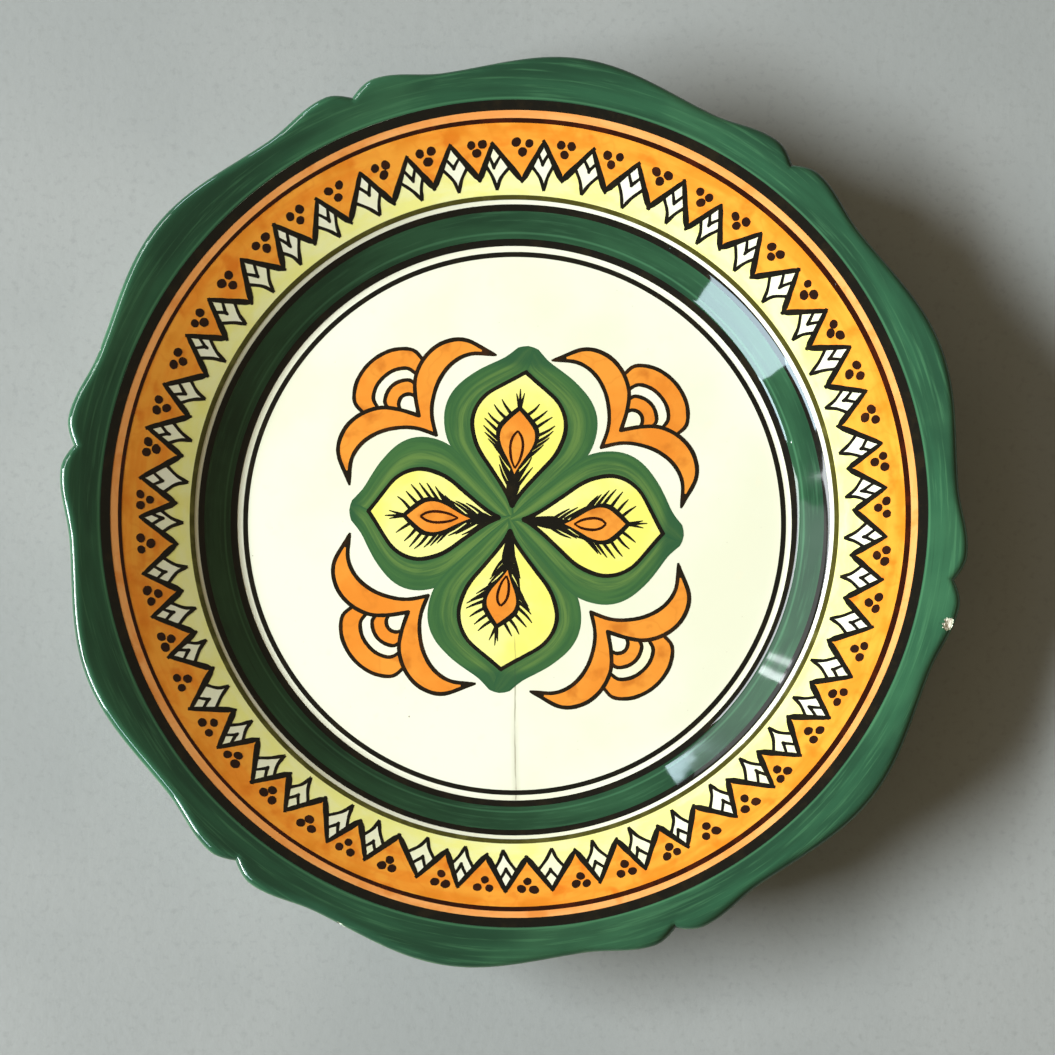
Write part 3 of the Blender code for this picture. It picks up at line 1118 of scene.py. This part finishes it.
def build_petal_ribbons(petals):
    """The green of the petals: two broad strokes each, from the centre round the leaf to the tip."""
    points, faces, normals, marks = [], [], [], []
    across, along = 7, 46
    for number, petal in enumerate(petals):
        for sign in (1, -1):
            past_tip = [(petal.length - 2.5, -1.4 * sign), (petal.length - 0.8, -1.2 * sign)]
            inner = np.concatenate(([(0.0, -0.6 * sign)], petal.leaf_side(sign), past_tip))
            inner = even_count(inner, along)
            inner = inner - normals_of(inner) * 0.3 * sign
            outer = even_count(petal.petal_side(sign), along)
            share = np.linspace(0, 1, across)[:, None, None]
            grid = inner[None] * (1 - share) + outer[None] * share
            flat = petal.place(grid).reshape(-1, 2)
            quads = grid_faces(across, along, closed=False)
            if sign < 0:
                quads = [quad[::-1] for quad in quads]
            order = 2 * number + (sign > 0)
            shell, shell_faces, shell_normals = film_shell(flat, quads, BASE_LAYER + 0.0022 * order)
            faces += [[i + len(points) for i in face] for face in shell_faces]
            points += shell.tolist()
            normals += shell_normals
            marks += 2 * [(a, i / (across - 1), order) for i in range(across) for a in grid[i, :, 0]]
    make_piece("petals", points, faces, petal_green(), "paint_green", normals, [("stroke", marks)])


def feathers(petal, draw):
    """The short strokes that fan out from the heart's dark rim towards the leaf's tip."""
    shapes = []
    axis = petal.axis
    for sign in (1, -1):
        rim = even_count(petal.heart_side(sign, 0.8), 60)
        normal = petal.across * sign
        for i in range(12):
            share = 0.094 * i - 0.16 + draw.uniform(-0.010, 0.010)
            start = rim[max(0, int(share * 59))] + axis * min(0.0, share) * 20
            if share < 0.05:
                start = start + normal * 1.1
            past_root = min(max(share, 0.0), 0.9)
            lean = math.radians(30 + 24 * math.sin(math.pi * past_root) + draw.uniform(-4, 4))
            reach = 6.5 - 2.0 * past_root + draw.uniform(-0.5, 0.5)
            heading = axis * math.cos(lean) + normal * math.sin(lean)
            middle = start + heading * reach * 0.5 + normal * draw.uniform(-0.10, 0.45)
            end = start + heading * reach
            curve = smooth((start - heading * 0.4, middle, end), 3)
            shapes += stroke(petal.place(curve), (1.0, 0.88, 0.66, 0.28), draw, 0.03)
    for lean, reach in ((-14, 4.6), (3, 5.6), (15, 4.4)):
        turn = math.radians(lean + draw.uniform(-3, 3))
        start = petal.heart_tip + axis * 0.6
        heading = axis * math.cos(turn) + petal.across * math.sin(turn)
        curve = straight(start - heading * 0.5, start + heading * reach, 5)
        shapes += stroke(petal.place(curve), (1.2, 0.9, 0.6, 0.26), draw)
    return shapes


def build_flower(black, brown, orange):
    petals = [Petal(*given) for given in PETALS]
    build_petal_ribbons(petals)
    leaves = [petal.closed(petal.leaf_side) for petal in petals]
    hearts = [petal.closed(petal.heart_side) for petal in petals]
    painted("leaves", [(leaves, THIRD_LAYER)], leaf_yellow_paint(), "paint_yellow")
    painted("leaf_hearts", [(hearts, FINE_LAYER)], orange, "paint_orange")

    draw = random.Random(23)
    lines, loops = [], []
    for petal in petals:
        for sign in (1, -1):
            edge = petal.place(even_count(petal.leaf_side(sign), 40))
            lines += stroke(edge, (1.2, 1.1, 1.15, 1.2, 1.1, 1.05, 1.15), draw, 0.05)
        tip = petal.place((petal.leaf_length, 0.0))
        lines.append(blob(tip, 1.3, 1.0, petal.heading + draw.uniform(-50, 50), draw))
        lines.append(petal.closed(petal.heart_side, 1.2))
        lines.append(petal.place(stem(petal)))
        lines += feathers(petal, draw)
        loops += heart_loop(petal, draw)
    painted("flower_lines", [(lines, LINE_LAYER)], black, "paint_black")
    painted("heart_loops", [(loops, FINE_LAYER + 0.006)], brown, "paint_brown")


def stem(petal):
    """The solid dark wedge from the flower's centre to the heart, which it meets inside the dark rim."""
    root, shift = petal.heart_root
    foot = petal.leaf_length * LEAF_SHAPE[0][0] - 0.4
    side = ((foot, 0.30), (foot + 2.6, 1.00), (root - 3.6, 1.90), (root - 1.2, 1.35), (root + 1.8, 1.30))
    left, right = (smooth([(a, sign * b + shift * (a > foot)) for a, b in side], 4) for sign in (1, -1))
    return np.concatenate((left, right[::-1]))


def heart_loop(petal, draw):
    """The thin brown loop inside the heart, pointed at both ends."""
    start, end = petal.loop
    root, shift = petal.heart_root
    slope = petal.axis[1] / petal.axis[0]
    middle = (start + end) / 2
    width = petal.heart_half * 0.36
    side = (
        (start, 0.0), ((start + middle) / 2, width * 0.7), (middle + 0.8, width),
        ((middle + end) / 2 + 0.8, width * 0.72), (end, 0.0),
    )
    shapes = []
    for sign in (1, -1):
        points = [(a, shift + (a - root) * slope + sign * w) for a, w in side]
        shapes += stroke(petal.place(smooth(points, 4)), (0.50, 0.72, 0.80, 0.76, 0.65), draw)
    return shapes


# The corner ornaments
def build_ornaments(outline_paint, orange):
    draw = random.Random(5)
    crescents, lines = [], []
    lobes = [[] for _ in LOBE_ARCS]
    for heading, shift in ORNAMENTS:
        place = partial(headed, heading=heading, origin=polar(shift, heading))
        for index, arc in enumerate(LOBE_ARCS):
            curve = mirrored(arc)
            lobes[index].append(place(np.concatenate((curve, [(41.5, 0.0)]))))
            lines += stroke(place(even_count(curve, EDGE_POINTS)), (0.95, 1.10, 1.05, 1.10, 0.95), draw)
        for sign in (1, -1):
            outer = smooth([(a, sign * b) for a, b in CRESCENT_OUTER], 5)
            inner = smooth([(a, sign * b) for a, b in CRESCENT_INNER], 5)
            crescents.append(place(np.concatenate((outer, inner[::-1][1:]))))
            outer, inner = even_count(outer, EDGE_POINTS), even_count(inner, EDGE_POINTS)
            lines += stroke(place(outer), (1.2, 1.1, 1.15, 1.2, 1.15, 1.1), draw, 0.05)
            lines += stroke(place(inner), (1.1, 1.05, 1.1, 1.15, 1.1, 1.1), draw, 0.05)
            middle = (outer + inner) / 2
            beyond = 2 * middle[-1] - middle[-2]
            lines += stroke(place(np.vstack((middle[-4:], beyond))), (0.9, 1.7, 1.6, 1.2, 0.5), draw)
        for corner in (CRESCENT_OUTER[0], CRESCENT_INNER[0]):
            lines.append(blob(place(corner), 1.3, 1.1, heading, draw))
    layers = [(arcs, BASE_LAYER + 0.004 * index) for index, arcs in enumerate(lobes)]
    painted("lobes_orange", layers[0::2], orange, "paint_orange")
    painted("lobes_white", layers[1::2], white_paint(), "paint_white")
    painted("crescents", [(crescents, THIRD_LAYER)], orange, "paint_orange")
    painted("ornament_lines", [(lines, LINE_LAYER)], outline_paint, "paint_black")


def mirrored(half):
    """A curve through half the points of a symmetrical arc and their mirror images."""
    return smooth(list(half) + [(a, -b) for a, b in reversed(half[:-1])], 5)


# Floor, light and camera
def build_floor():
    mesh = bpy.data.meshes.new("floor")
    corners = [(x * FLOOR_HALF, y * FLOOR_HALF, 0) for x, y in ((-1, -1), (1, -1), (1, 1), (-1, 1))]
    mesh.from_pydata(corners, [], [(0, 1, 2, 3)])
    mesh.materials.append(floor_paint())
    floor = bpy.data.objects.new("floor", mesh)
    bpy.context.scene.collection.objects.link(floor)
    floor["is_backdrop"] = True


def pane(name, azimuths, elevations, radiance, color):
    """A pane of daylight that faces the plate and fills these azimuths and elevations."""
    azimuth, elevation = (math.radians(sum(span) / 2) for span in (azimuths, elevations))
    half_width, half_height = (math.radians(span[1] - span[0]) / 2 for span in (azimuths, elevations))
    width = 2 * PANE_DISTANCE * math.cos(elevation) * math.tan(half_width)
    height = 2 * PANE_DISTANCE * math.tan(half_height)
    light = bpy.data.lights.new(name, "AREA")
    light.shape = "RECTANGLE"
    light.size, light.size_y = width, height
    light.energy = radiance * math.pi * width * height
    light.color = color
    panel = bpy.data.objects.new(name, light)
    level = math.cos(elevation)
    towards = Vector((math.cos(azimuth) * level, math.sin(azimuth) * level, math.sin(elevation)))
    panel.location = towards * PANE_DISTANCE
    panel.rotation_mode = "QUATERNION"
    panel.rotation_quaternion = towards.to_track_quat("Z", "Y")
    bpy.context.scene.collection.objects.link(panel)
    return panel


def build_light():
    world = bpy.data.worlds.new("studio")
    world.use_nodes = True
    background = world.node_tree.nodes["Background"]
    background.inputs["Color"].default_value = (*ROOM_COLOR, 1.0)
    background.inputs["Strength"].default_value = ROOM_RADIANCE
    bpy.context.scene.world = world
    for number, given in enumerate(PANES):
        pane(*given).visible_diffuse = number == 0
    bpy.context.scene.view_settings.view_transform = "Standard"


def build_camera():
    """Straight over the plate's face, with the plate ten degrees below the middle of the lens's view.

    The camera's parent is sheared, so its picture plane stays level with the rim and circles stay round.
    """
    tilt = math.radians(10.0)
    above = 0.600
    along_axis = 0.609  # from the lens to the level of the rim
    picture_width = 0.287  # at that level
    rim_level = 0.026
    aim = (0.0037, -0.00446)
    back = (0.0, -math.sin(tilt), math.cos(tilt))
    shear = Matrix(((1, 0, back[0], 0), (0, 1, back[1], 0), (0, 0, back[2], 0), (0, 0, 0, 1)))
    lens = bpy.data.cameras.new("camera")
    lens.lens = lens.sensor_width * along_axis / picture_width
    lens.clip_start = 0.01
    camera = bpy.data.objects.new("camera", lens)
    mount = bpy.data.objects.new("camera_mount", None)
    for obj in (camera, mount):
        bpy.context.scene.collection.objects.link(obj)
    camera.parent = mount
    camera.matrix_parent_inverse = (
        Matrix.Translation((aim[0], aim[1] - above * math.tan(tilt), above + rim_level)) @ shear
    )
    bpy.context.scene.camera = camera


def build():
    black = line_paint("paint_black_line", (0.006, 0.006, 0.005), (0.024, 0.017, 0.008), 0.40)
    maroon = line_paint("paint_maroon_dots", (0.018, 0.006, 0.004), (0.058, 0.013, 0.005), 0.5)
    ornament_black = line_paint("paint_black_ornament", (0.011, 0.008, 0.005), (0.060, 0.020, 0.006), 0.50)
    brown = line_paint("paint_brown_line", (0.022, 0.003, 0.001), (0.075, 0.010, 0.002), 0.6)
    olive = line_paint("paint_olive_line", (0.060, 0.055, 0.009), (0.135, 0.125, 0.030), 0.7)
    orange = motif_orange_paint()
    angles = build_solids()
    build_green_rim(angles)
    build_rings(black, brown, olive)
    build_zigzag(black, maroon)
    build_flower(black, brown, orange)
    build_ornaments(ornament_black, orange)
    build_floor()
    build_light()
    build_camera()


build()
visual_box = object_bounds()
boxes = {"cad": cad_box, "visual": visual_box}
{name: [list(corner) for corner in box] for name, box in boxes.items()}
